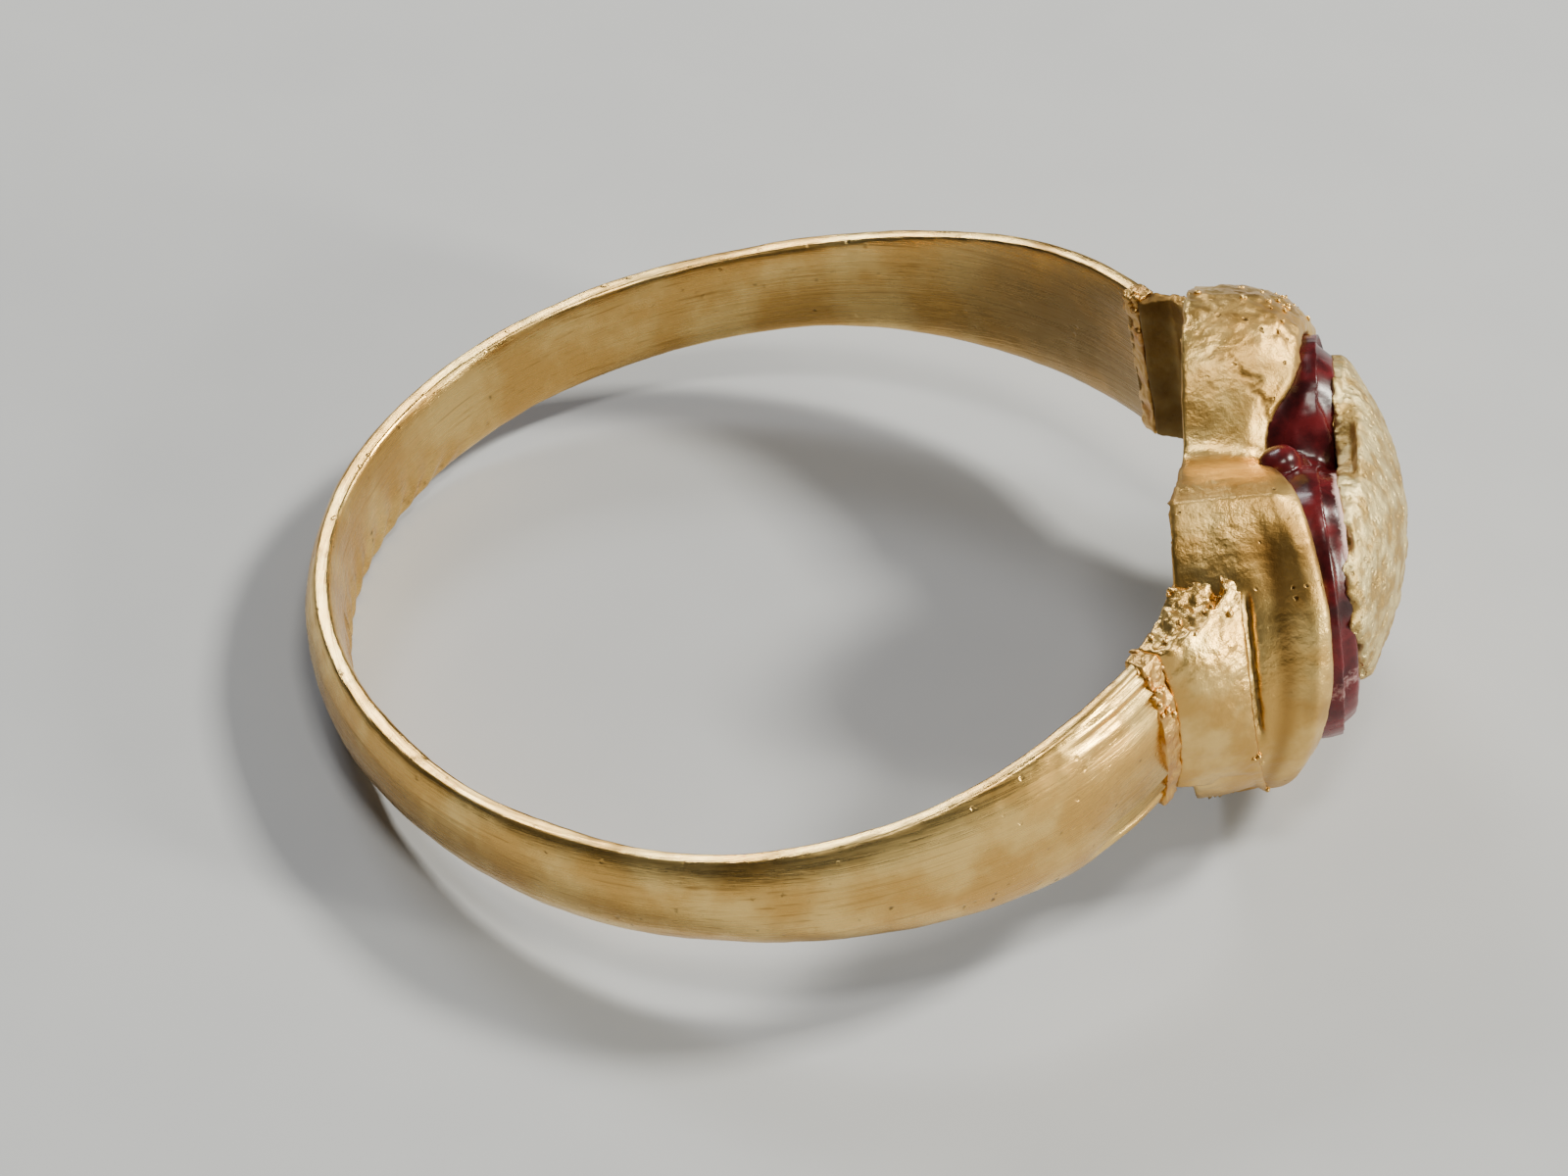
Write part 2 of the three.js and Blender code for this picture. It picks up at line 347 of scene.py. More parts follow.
def headGold():
    made, flow = startMaterial("headGold")
    place = ringPlace(flow)
    clouds = speckle(flow, place, 0.9, 4)
    patches = speckle(flow, place, 2.1, 2)
    grit = speckle(flow, place, 0.12, 4, 0.65)
    nicks = pits(flow, place, 0.34, 0.17) * patches.step(0.56, 0.64)
    base = flow.mix(clouds.step(0.36, 0.68), goldColours["body"], goldColours["bright"])
    base = flow.mix(patches.step(0.5, 0.66) * 0.45, base, goldColours["shade"])
    shade = flow.node("ShaderNodeAttribute", {"attribute_name": "shade"}, None, 2)
    base = flow.mix(shade * (0.4 + clouds * 0.5), base, goldColours["shade"])
    # painted shade in the crevice and the far shoulder's recess, plus the dark of the crack and of pits
    grime = flow.node("ShaderNodeAttribute", {"attribute_name": "grime"}, None, 2)
    base = flow.mix((nicks * 0.8).most(grime), base, goldColours["grime"])
    roughness = 0.27 + clouds * 0.12 + patches.step(0.46, 0.62) * 0.12 + grime * 0.3
    height = grit * 0.7 + clouds * 0.6 - nicks * 1.1
    return finishMetal(flow, made, base, roughness, height, 0.022)


def crestGold():
    made, flow = startMaterial("crestGold")
    place = ringPlace(flow)
    grit = speckle(flow, place, 0.1, 5, 0.7)
    lumps = speckle(flow, place, 0.42, 3)
    stipple = pits(flow, place, 0.2, 0.34)
    base = flow.mix(lumps.step(0.35, 0.65), goldColours["paleShade"], goldColours["pale"])
    base = flow.mix(stipple * grit.step(0.5, 0.62) * 0.55, base, goldColours["shade"])
    roughness = 0.36 + grit * 0.18
    height = grit * 0.8 + lumps * 1.2 - stipple * 0.7
    return finishMetal(flow, made, base, roughness, height, 0.03)


def solderGold():
    made, flow = startMaterial("solderGold")
    place = ringPlace(flow)
    grit = speckle(flow, place, 0.09, 4, 0.6)
    lumps = speckle(flow, place, 0.4, 3)
    base = flow.mix(lumps.step(0.35, 0.65), goldColours["copperShade"], goldColours["copper"])
    base = flow.mix(lumps.step(0.36, 0.54) * 0.9, base, goldColours["body"])
    base = flow.mix(grit.step(0.56, 0.7) * 0.5, base, goldColours["bright"])
    roughness = 0.26 + grit * 0.16
    return finishMetal(flow, made, base, roughness, grit + lumps * 0.8, 0.02)


def redEnamel():
    made, flow = startMaterial("redEnamel")
    place = ringPlace(flow)
    clouds = speckle(flow, place, 0.6, 4)
    scuffs = speckle(flow, place, 0.14, 4, 0.7, 0.6)
    # scuffed pale, with a painted highlight along the near ridge
    rubbed = flow.node("ShaderNodeAttribute", {"attribute_name": "rubbed"}, None, 2)
    # painted light: brighter red where light shines through, low on both sides
    thin = flow.node("ShaderNodeAttribute", {"attribute_name": "thin"}, None, 2)
    base = flow.mix(clouds.step(0.35, 0.7), enamelColours["deep"], enamelColours["body"])
    base = flow.mix(thin, base, enamelColours["thin"])
    wornAndSheen = (rubbed * 1.15 + scuffs - 0.5).step(0.4, 0.95)
    base = flow.mix(wornAndSheen * 0.8, base, enamelColours["rubbed"])
    roughness = 0.2 + wornAndSheen * 0.3 + clouds * 0.12
    height = clouds * 0.8 + wornAndSheen * scuffs
    bump = flow.node("ShaderNodeBump", None, {"Strength": 1.0, "Distance": 0.000014, "Height": height})
    shader = flow.node("ShaderNodeBsdfPrincipled", None, {
        "Base Color": base, "Roughness": roughness, "Normal": bump, "IOR": 1.5,
        "Specular IOR Level": 0.35})
    flow.node("ShaderNodeOutputMaterial", None, {"Surface": shader})
    return made


print("materials")
finishes = {
    "bandGold": bandGold(), "headGold": headGold(), "crestGold": crestGold(),
    "solderGold": solderGold(), "redEnamel": redEnamel(),
}


def dress(piece, finish):
    piece.data.materials.clear()
    piece.data.materials.append(finishes[finish])


def standFor(piece, node, finish):
    settle(piece)
    dress(piece, finish)
    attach(piece, "root")
    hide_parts(node)
    print("made", piece.name, len(piece.data.polygons), "faces")


# ---- band ----
# Each Fade is a pair: where the effect is nil and where it is full.
bandWear = {
    "dents": 0.035, "dentSize": 2.6, "ripple": 0.012, "rippleSize": 0.7,
    "fluteDepth": 0.12, "fluteFade": (-53, -44), "fluteGap": 0.68, "outerFade": (0.3, 0.5),
    "chatter": 0.05, "chatterGap": 4.2, "chatterSlant": 7, "chatterFade": (138, 155),
    "innerFade": (0.12, 0.04), "lowerFade": (0.0, -0.9),
    # painted shade on the band's inside towards the head
    "innerShadeAt": 4, "innerShadeFade": (86, 48), "innerShadeDepthFade": (0.25, 0.1),
}


def bandSection(across):
    # points round the D section: side of the band from -1 to 1, share of the wall from 0 to 1
    turn = np.linspace(0, 2 * math.pi, across, endpoint=False)
    squareness = bandShape["squareness"]
    side = np.sign(np.cos(turn)) * np.abs(np.cos(turn)) ** squareness
    wall = np.sign(np.sin(turn)) * np.abs(np.sin(turn)) ** squareness
    return side, (wall + 1) / 2


def makeBand():
    rounds, across = bandShape["stepsRound"], bandShape["stepsAcross"]
    end = math.radians(bandShape["end"] - bandShape["underSolder"])
    angle = np.linspace(end, 2 * math.pi - end, rounds)[:, None]
    side, wall = bandSection(across)
    fromHead = np.degrees(np.minimum(angle, 2 * math.pi - angle))
    widening = smoothStep(bandShape["taperStart"], bandShape["end"], fromHead)
    width = bandShape["width"] + (bandShape["shoulderWidth"] - bandShape["width"]) * widening
    thickness = bandShape["edge"] + (bandShape["crown"] - bandShape["edge"]) * (1 - side * side)
    comfort = bandShape["comfort"] * side ** 4  # the inside is rounded a little towards its rims
    radius = boreAt(angle) + comfort + (thickness - comfort) * wall
    w = side * width / 2
    band = loft("band", np.stack([radius * np.cos(angle), radius * np.sin(angle), w + 0 * angle], -1))
    sculpt(band, wearBand)
    return band


def wearBand(points, normals):
    u, v, w = points.T
    angle = np.degrees(np.arctan2(v, u))
    dents = bandWear["dents"] * grain(points, bandWear["dentSize"], 2, 1)
    ripple = bandWear["ripple"] * grain(points, bandWear["rippleSize"], 3, 2)
    depth = np.hypot(u, v) - boreAt(np.arctan2(v, u))
    outside = smoothStep(*bandWear["outerFade"], depth)
    near = smoothStep(*bandWear["fluteFade"], angle) * (angle < 0)
    grooves = np.cos(2 * math.pi * w / bandWear["fluteGap"]) ** 2
    flutes = -bandWear["fluteDepth"] * near * outside * grooves
    inside = smoothStep(*bandWear["innerFade"], depth) * smoothStep(*bandWear["lowerFade"], w)
    worked = smoothStep(*bandWear["chatterFade"], np.abs(angle)) * inside
    marks = np.cos(2 * math.pi * (angle + bandWear["chatterSlant"] * w) / bandWear["chatterGap"])
    chatter = bandWear["chatter"] * worked * marks
    return points + normals * (dents + ripple + flutes + chatter)[:, None]


def bandInnerShade(points):
    # painted shade: the inside of the band is darkened towards the head, where the head shades it
    angle = np.arctan2(points[:, 1], points[:, 0])
    depth = np.hypot(points[:, 0], points[:, 1]) - boreAt(angle)
    fromMiddle = np.abs(np.degrees(angle) - bandWear["innerShadeAt"])
    return smoothStep(*bandWear["innerShadeDepthFade"], depth) * smoothStep(*bandWear["innerShadeFade"], fromMiddle)


print("band")
band = makeBand()
# painted shade on the band's inside near the head
paint(band, "tarnish", bandInnerShade(readVectors(band.data, "co")))
standFor(band, "shank", "bandGold")

# ---- head ----
headShape = {
    "middle": 0.2, "radii": [3.0, 3.85, 4.35, 4.7, 3.75],
    "cleft": 1.3, "cleftAt": -11, "cleftSpread": 24, "backCleft": 0.85,
    "backFlare": 0.75, "backFlareAt": 43, "backOut": 8.05,
    "rimOut": 10.6, "rimBow": 0.06, "rimBowFrom": 1, "rimDip": 0.95, "rimDipNear": 1.9, "rimDipFar": 0.8,
}


def cleftFade(angle):
    fromCleft = (angle - headShape["cleftAt"] + 180) % 360 - 180
    return np.exp(-(fromCleft / headShape["cleftSpread"]) ** 2)


def outlineAt(angle, share):
    # the wall's outside, at a head angle and a share of the way from its back to its rim
    radii = headShape["radii"]
    last = len(radii) - 1
    radius = 0
    for k in range(last + 1):
        wave = [value * math.cos(k * j * math.pi / last) for j, value in enumerate(radii)]
        weight = sum(wave) - (wave[0] + wave[-1]) / 2
        halved = 0.5 if k in (0, last) else 1
        radius = radius + 2 / last * halved * weight * np.cos(k * angle)
    cleft = headShape["cleft"] * (headShape["backCleft"] + (1 - headShape["backCleft"]) * share)
    flare = headShape["backFlare"] * np.sqrt(1 - share ** 2)
    towardsLobe = np.cos(angle - math.radians(headShape["backFlareAt"])) ** 2
    return radius - cleft * cleftFade(np.degrees(angle)) + flare * towardsLobe


def rimAt(v, w):
    bow = headShape["rimBow"] * (w - headShape["rimBowFrom"]) ** 2
    width = np.where(v > 0, headShape["rimDipFar"], headShape["rimDipNear"])
    dip = headShape["rimDip"] * np.exp(-(v / width) ** 2) * smoothStep(0, headShape["cleft"], w)
    return headShape["rimOut"] - bow - dip


def headAngle(points):
    # degrees round the head from its top, positive on the far side
    return np.degrees(np.arctan2(points[:, 1], points[:, 2] - headShape["middle"]))


def hump(value, middle, spread):
    return np.exp(-((value - middle) / spread) ** 2)


wallWear = {
    "lumps": 0.018, "crumble": 0.035, "crumbleFade": (14, 30), "crumbleEndFade": (110, 80),
    "outsideFade": (0.3, 0.7), "nearFade": (-44, -58),
    "lip": 0.06, "lipAt": 0.3, "lipSpread": 0.2, "flute": 0.08, "fluteAt": 0.9, "fluteSpread": 0.3,
    "ridge": 0.2, "ridgeAt": -43, "ridgeSpread": 6, "ridgeFade": (0.0, 0.5),
    "tuck": 0.4, "tuckAt": -141, "tuckSpread": 17, "tuckFade": (9.4, 8.2),
    "shadeAt": 0.85, "shadeSpread": 0.2, "plateauShade": 0.6, "plateauFade": (-75, -50),
}
# grime amounts: painted shade in the crevice, a darkened seam in the crack
crevice = {"depth": 0.14, "out": 9.12, "width": 0.06, "wander": 0.03, "lowFade": (-1.2, -0.5),
           "highFade": (2.0, 1.6), "grime": 0.9}
crack = {"depth": 0.035, "from": 20, "fall": 8.5, "backOut": 8.6, "width": 0.04, "wander": 4,
         "backFade": (8.3, 8.6), "rimFade": (10.1, 9.8), "above": 0.5, "grime": 0.6}


def wearWall(points, normals):
    u, v, w = points.T
    up = w - headShape["middle"]
    angle = headAngle(points)
    below = rimAt(v, w) - u
    fromMiddle = np.hypot(v, up)
    outward = (normals[:, 1] * v + normals[:, 2] * up) / fromMiddle
    outside = smoothStep(*wallWear["outsideFade"], outward)
    near = smoothStep(*wallWear["nearFade"], angle)
    lip = wallWear["lip"] * hump(below, wallWear["lipAt"], wallWear["lipSpread"])
    flute = wallWear["flute"] * hump(below, wallWear["fluteAt"], wallWear["fluteSpread"])
    ridge = wallWear["ridge"] * np.exp(-np.abs(angle - wallWear["ridgeAt"]) / wallWear["ridgeSpread"])
    ridge *= smoothStep(*wallWear["ridgeFade"], below)
    farTop = smoothStep(*wallWear["crumbleFade"], angle) * smoothStep(*wallWear["crumbleEndFade"], angle)
    crumble = wallWear["crumble"] * farTop * (grain(points, 0.24, 3, 21) + 1.6 * grain(points, 0.8, 2, 25))
    lumps = wallWear["lumps"] * (grain(points, 0.9, 3, 3) + 0.4 * grain(points, 0.25, 3, 4))
    cuts = crack["depth"] * crackMask(points) + crevice["depth"] * creviceMask(points)
    shift = outside * (near * (lip - flute) + ridge) + crumble + lumps - cuts
    changed = points + normals * shift[:, None]
    # the lower corner of the back is tucked in behind the shoulder
    tuck = wallWear["tuck"] * hump(angle, wallWear["tuckAt"], wallWear["tuckSpread"])
    tuck *= smoothStep(*wallWear["tuckFade"], u)
    changed[:, 1] -= tuck * v / fromMiddle
    changed[:, 2] -= tuck * up / fromMiddle
    return changed


def creviceMask(points):
    # the gap left between the near shoulder's foot and the wall, cut in and painted with shade
    u, v, w = points.T
    wander = crevice["wander"] * grain(points, 0.3, 2, 28)
    gap = hump(u + wander, crevice["out"], crevice["width"])
    return gap * smoothStep(*crevice["lowFade"], w) * smoothStep(*crevice["highFade"], w) * (v < -2)


def crackMask(points):
    # an open seam that runs from the back of the far lobe down into the cleft
    u, v, w = points.T
    wander = crack["wander"] * grain(points, 0.35, 2, 22)
    path = crack["from"] - crack["fall"] * (u - crack["backOut"]) + wander
    away = np.radians(headAngle(points) - path) * np.hypot(v, w)
    seam = hump(away, 0, crack["width"])
    return seam * smoothStep(*crack["backFade"], u) * smoothStep(*crack["rimFade"], u) * (w > crack["above"])


def wallShade(points):
    # darker in the flute along the rim and on top of the near lobe
    angle = headAngle(points)
    below = rimAt(points[:, 1], points[:, 2]) - points[:, 0]
    flute = hump(below, wallWear["shadeAt"], wallWear["shadeSpread"])
    plateau = wallWear["plateauShade"] * smoothStep(*wallWear["plateauFade"], angle)
    return smoothStep(*wallWear["nearFade"], angle) * (flute + plateau)


print("head wall")
bezelWall = softCopy("bezel_wall", "bezelWall", 0.055, 5)
sculpt(bezelWall, wearWall)
wallPoints = readVectors(bezelWall.data, "co")
# painted shade in the crevice at the near shoulder's foot, and a darkened crack
wallCrackAndShade = crack["grime"] * crackMask(wallPoints) + crevice["grime"] * creviceMask(wallPoints)
paint(bezelWall, "grime", np.clip(wallCrackAndShade, 0, 1))
paint(bezelWall, "shade", wallShade(wallPoints))

# ---- shoulders: collars that flare from the band's end onto the head's wall ----
collars = {
    "near": {"side": -1, "top": 60, "bottom": 143, "footOut": 9.02, "stand": 0.14, "standLow": -0.2,
             "sweep": 1.9, "inset": 0.0, "bevel": 0.32},
    "far": {"side": 1, "top": 66, "bottom": 132, "footOut": 8.7, "stand": 0.05, "standLow": 0.0,
            "sweep": 1.5, "inset": 0.5, "bevel": 0.1},
}
collarStart = bandShape["end"] - 3.2  # both in degrees from the head
collarInner = 24
collarWear = {
    "lumps": 0.025, "fineLumps": 0.012, "crumble": 0.07, "topFade": (0.55, 0.8), "highFade": (1.4, 1.8),
    "pit": 0.22, "pitOut": 8.55, "pitOutSpread": 0.12, "pitFar": -3.95, "pitFarSpread": 0.22,
    # recessShade is painted shade in the far shoulder's set-back recess
    "recessFade": (0.7, 0.5), "recessShade": 0.65,
}


def makeCollar(name, facts):
    side = facts["side"]
    steps, wallSteps = 40, 8
    t = np.linspace(0, 1, steps)[:, None]
    s = np.linspace(-1, 1, steps)[None, :]
    start = side * math.radians(collarStart)
    crown = bandShape["edge"] + (bandShape["crown"] - bandShape["edge"]) * (1 - s * s)
    radius = float(boreAt(start)) + crown
    foot = side * np.radians(facts["bottom"] + (facts["top"] - facts["bottom"]) * (s + 1) / 2)
    share = (facts["footOut"] - headShape["backOut"]) / (headShape["rimOut"] - headShape["backOut"])
    # the foot stands on the wall at the top and sinks into it lower down
    stand = facts["standLow"] + (facts["stand"] - facts["standLow"]) * smoothStep(-0.7, 0.4, s)
    bevel = facts["bevel"] * smoothStep(0.72, 1, s)
    reach = outlineAt(foot, share) + stand - bevel
    flare = t ** facts["sweep"]
    u = radius * math.cos(start) * (1 - t) + facts["footOut"] * t
    v = radius * math.sin(start) * (1 - flare) + reach * np.sin(foot) * flare
    w = s * bandShape["shoulderWidth"] / 2 * (1 - flare)
    w = w + (headShape["middle"] + reach * np.cos(foot)) * flare
    outer = np.stack([u, v, w], -1)
    turn = start + (side * math.radians(collarInner) - start) * t
    inside = boreAt(turn) + facts["inset"] * smoothStep(0, 0.3, t)
    inner = np.stack([inside * np.cos(turn) + 0 * s, inside * np.sin(turn) + 0 * s, w], -1)
    across = np.linspace(0, 1, wallSteps + 2)[1:-1][None, :, None]
    topFace = outer[:, -1:] * (1 - across) + inner[:, -1:] * across
    lowFace = inner[:, :1] * (1 - across) + outer[:, :1] * across
    collar = loft(name, np.concatenate([outer, topFace, inner[:, ::-1], lowFace], 1))
    evenMesh(collar, 0.04, 4)
    sculpt(collar, wearCollar)
    return collar


def wearCollar(points, normals):
    u, v, w = points.T
    topFace = smoothStep(*collarWear["topFade"], normals[:, 2]) * smoothStep(*collarWear["highFade"], w)
    lumps = collarWear["lumps"] * grain(points, 0.8, 3, 5)
    lumps += collarWear["fineLumps"] * grain(points, 0.22, 3, 6)
    crumble = collarWear["crumble"] * topFace * grain(points, 0.26, 3, 23)
    pit = hump(u, collarWear["pitOut"], collarWear["pitOutSpread"])
    pit *= collarWear["pit"] * topFace * hump(v, collarWear["pitFar"], collarWear["pitFarSpread"])
    return points + normals * (lumps + crumble - pit)[:, None]


print("shoulders")
nearShoulder = makeCollar("nearShoulder", collars["near"])
farShoulder = makeCollar("farShoulder", collars["far"])
farPoints = readVectors(farShoulder.data, "co")
fromBore = np.hypot(farPoints[:, 0], farPoints[:, 1]) - bandShape["boreRadius"]
# painted shade in the far shoulder's set-back recess
paint(farShoulder, "grime", collarWear["recessShade"] * smoothStep(*collarWear["recessFade"], fromBore))

# ---- solder, crest and enamel ----
solderWear = {"lumps": 0.06, "fineLumps": 0.02, "sunk": 0.03}


def wearSolder(points, normals):
    lumps = solderWear["lumps"] * grain(points, 0.45, 2, 7)
    lumps += solderWear["fineLumps"] * grain(points, 0.18, 2, 8)
    return points + normals * (lumps - solderWear["sunk"])[:, None]


crestWear = {
    "out": 10.95, "lumps": 0.04, "fineLumps": 0.02,
    "leaf": 0.1, "leafOut": 11.2, "leafThick": 0.14,
    "leafAlong": (0.68, 0.73), "leafUp": 2.3, "leafLong": 0.5,
    "edgeFade": (0.3, 0.0), "edgeDrop": 0.06, "edgeWander": 0.08,
    "domeFrom": 11.15, "domeRise": 0.95, "cleft": 1.15, "cleftKept": 0.55, "keptFade": (0.88, 1.0),
    "leastRadius": 0.3,
}


def wearCrest(points, normals):
    u, v, w = points.T
    up = w - headShape["middle"]
    lumps = crestWear["lumps"] * grain(points, 0.6, 3, 9)
    lumps += crestWear["fineLumps"] * grain(points, 0.16, 3, 10)
    along = crestWear["leafAlong"][0] * v + crestWear["leafAlong"][1] * w
    leaf = crestWear["leaf"] * hump(along, crestWear["leafUp"], crestWear["leafLong"])
    leaf *= hump(u, crestWear["leafOut"], crestWear["leafThick"])
    changed = points + normals * (lumps - leaf)[:, None]
    # the dome closes over the cleft, which only its edge still follows
    share = np.sqrt(np.clip(1 - (u - crestWear["domeFrom"]) / crestWear["domeRise"], 0, 1))
    kept = crestWear["cleftKept"] * smoothStep(*crestWear["keptFade"], share)
    fromMiddle = np.maximum(np.hypot(v, up), crestWear["leastRadius"])
    fill = crestWear["cleft"] * share ** 2 * cleftFade(headAngle(points)) * (1 - kept) / fromMiddle
    changed[:, 1] += v * fill
    changed[:, 2] += up * fill
    edge = smoothStep(*crestWear["edgeFade"], u - crestWear["out"])
    changed[:, 0] -= edge * crestWear["edgeDrop"]
    changed[:, 1:] *= (1 + edge * crestWear["edgeWander"] * grain(points, 0.5, 3, 24))[:, None]
    return changed


enamelWear = {
    "lumps": 0.02, "topFade": (0.2, 0.6), "nearFade": (-14, -26), "nearEndFade": (-150, -120),
    "ridge": 0.09, "ridgeWidth": 0.12, "ridgeFrom": 0.6, "ridgeCrosses": 0.28, "ridgeFade": (-16, -64),
    "groove": 0.16, "grooveFromRidge": -0.24,
    "farDip": 0.22, "farDipAt": 0.62, "farDipWidth": 0.2, "farFade": (5, 20), "farEndFade": (130, 100),
    "crestRise": 0.06, "crestFade": (0.8, 1.0),
    # the near ridge's scuffed pale with its painted highlight
    "ridgeRubSheenFade": (-12, -22), "ridgeRubSheenEndFade": (-100, -50), "ridgeRubSheenWidth": 0.09,
    "chips": 0.5, "chipsAt": -104, "chipsSpread": 5, "chipsInward": 0.3,
    "dropRub": 0.6, "dropFade": (9.5, 9.35),
    # painted light shining through the enamel, low on both sides
    "lightThroughNearFade": (-90, -150), "lightThroughFarFade": (90, 150),
}
# enamel that ran over the wall in the cleft: place and half sizes
enamelDrops = [
    ((9.84, -0.6, 2.1), (0.42, 0.42, 0.36)),
    ((10.0, -0.45, 1.85), (0.4, 0.34, 0.3)),
    ((10.82, -0.75, 1.45), (0.3, 0.42, 0.34)),
]


def inwardFromRim(points):
    # how far inside the outer edge of the wall's rim
    rimLine = outlineAt(np.radians(headAngle(points)), 1.0)
    return rimLine - np.hypot(points[:, 1], points[:, 2] - headShape["middle"])


def ridgeInward(angle):
    # the enamel's scuffed ridge leaves the wall at the cleft and crosses to the crest
    return enamelWear["ridgeFrom"] + enamelWear["ridgeCrosses"] * smoothStep(*enamelWear["ridgeFade"], angle)


def wearEnamel(points, normals):
    angle = headAngle(points)
    inward = inwardFromRim(points)
    near = smoothStep(*enamelWear["nearFade"], angle) * smoothStep(*enamelWear["nearEndFade"], angle)
    far = smoothStep(*enamelWear["farFade"], angle) * smoothStep(*enamelWear["farEndFade"], angle)
    top = smoothStep(*enamelWear["topFade"], normals[:, 0])
    ridgeAt = ridgeInward(angle)
    ridge = enamelWear["ridge"] * hump(inward, ridgeAt, enamelWear["ridgeWidth"])
    grooveAt = ridgeAt + enamelWear["grooveFromRidge"]
    groove = enamelWear["groove"] * hump(inward, grooveAt, enamelWear["ridgeWidth"])
    farDip = enamelWear["farDip"] * far * hump(inward, enamelWear["farDipAt"], enamelWear["farDipWidth"])
    crestRise = enamelWear["crestRise"] * smoothStep(*enamelWear["crestFade"], inward)
    changed = points + normals * (enamelWear["lumps"] * grain(points, 0.5, 2, 11))[:, None]
    changed[:, 0] += top * ((ridge - groove) * near - farDip + crestRise)
    return changed


def enamelRubAndSheen(points):
    # scuffed pale with a painted highlight along the near ridge; scuffed pale at a chip lower down and on top
    # of the run-over drop
    angle = headAngle(points)
    inward = inwardFromRim(points)
    near = smoothStep(*enamelWear["ridgeRubSheenFade"], angle) * smoothStep(*enamelWear["ridgeRubSheenEndFade"], angle)
    ridge = near * hump(inward, ridgeInward(angle), enamelWear["ridgeRubSheenWidth"])
    chips = hump(angle, enamelWear["chipsAt"], enamelWear["chipsSpread"])
    chips *= inward > enamelWear["chipsInward"]
    dropTop = smoothStep(*enamelWear["dropFade"], points[:, 0])
    return np.clip(ridge + enamelWear["chips"] * chips + enamelWear["dropRub"] * dropTop, 0, 1)


def enamelLightThrough(points):
    # painted light: brighter red low on both sides, where light shines through the enamel
    angle = headAngle(points)
    return smoothStep(*enamelWear["lightThroughNearFade"], angle) + smoothStep(*enamelWear["lightThroughFarFade"], angle)


print("crest, enamel and solder")
crestDome = softCopy("crest_dome", "crestDome", 0.05, 10)
sculpt(crestDome, wearCrest)
enamelBorder = softCopy("enamel_border", "enamelBorder", 0.05, 5, enamelDrops)
sculpt(enamelBorder, wearEnamel)
enamelPoints = readVectors(enamelBorder.data, "co")
# scuffed pale marks, with a painted highlight along the near ridge
paint(enamelBorder, "rubbed", enamelRubAndSheen(enamelPoints))
# painted light: brighter red where light shines through the enamel low down
paint(enamelBorder, "thin", enamelLightThrough(enamelPoints))
nearSolder = softCopy("near_solder_seam", "nearSolder", 0.04, 8)
farSolder = softCopy("far_solder_seam", "farSolder", 0.04, 8)
for seam in (nearSolder, farSolder):
    sculpt(seam, wearSolder)


# ---- granules: beads of metal that ran and froze when the ring was soldered ----
def granuleTree():
    tree = bpy.data.node_groups.new("granules", "GeometryNodeTree")
    face = tree.interface
    face.new_socket("Geometry", in_out="INPUT", socket_type="NodeSocketGeometry")
    for title, kind in (("Density", "Float"), ("Smallest", "Float"), ("Largest", "Float"),
                        ("Seed", "Int"), ("Metal", "Material")):
        face.new_socket(title, in_out="INPUT", socket_type="NodeSocket" + kind)
    face.new_socket("Geometry", in_out="OUTPUT", socket_type="NodeSocketGeometry")
    flow = Flow(tree)
    given = tree.nodes.new("NodeGroupInput")
    geometry, density, smallest, largest, seed, metal = (Flow(tree, given.outputs[k]) for k in range(6))
    mask = flow.node("GeometryNodeInputNamedAttribute", {"data_type": "FLOAT"}, {"Name": "crumbs"})
    spots = flow.node("GeometryNodeDistributePointsOnFaces", None, {
        "Mesh": geometry, "Density": density * mask, "Seed": seed})
    size = flow.node("FunctionNodeRandomValue", {"data_type": "FLOAT_VECTOR"}, {
        0: flow.vector(smallest, smallest, smallest), 1: flow.vector(largest, largest, largest),
        "Seed": seed})
    bead = flow.node("GeometryNodeMeshIcoSphere", None, {"Radius": 1.0, "Subdivisions": 2})
    beads = flow.node("GeometryNodeInstanceOnPoints", None, {
        "Points": spots, "Instance": bead, "Scale": size})
    real = flow.node("GeometryNodeRealizeInstances", None, {"Geometry": beads})
    finished = flow.node("GeometryNodeSetMaterial", None, {"Geometry": real, "Material": metal})
    flow.node("NodeGroupOutput", None, {0: finished})
    return tree


granules = granuleTree()


def scatterGranules(name, host, crumbs, facts, finish):
    paint(host, "crumbs", crumbs)
    piece = linkPiece(name, host.data.copy())
    scatter = piece.modifiers.new("granules", "NODES")
    scatter.node_group = granules
    given = dict(facts, Metal=finishes[finish])
    for item in granules.interface.items_tree:
        if item.in_out == "INPUT" and item.name in given:
            scatter[item.identifier] = given[item.name]
    applyModifiers(piece)
    settle(piece)
    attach(piece, "root")
    print("made", name, len(piece.data.polygons), "faces")


lobeCrumb = {"rimAt": 0.3, "rimSpread": 0.22, "backAt": 2.2, "backSpread": 0.2, "patches": 0.5,
             "cleftFade": (18, 34), "sideFade": (96, 74), "lowestNormal": -0.2}
collarCrumb = {"topFade": (0.4, 0.8), "foot": 0.6, "footOut": 9.0, "footSpread": 0.1,
               "footFade": (-0.5, -1.5)}


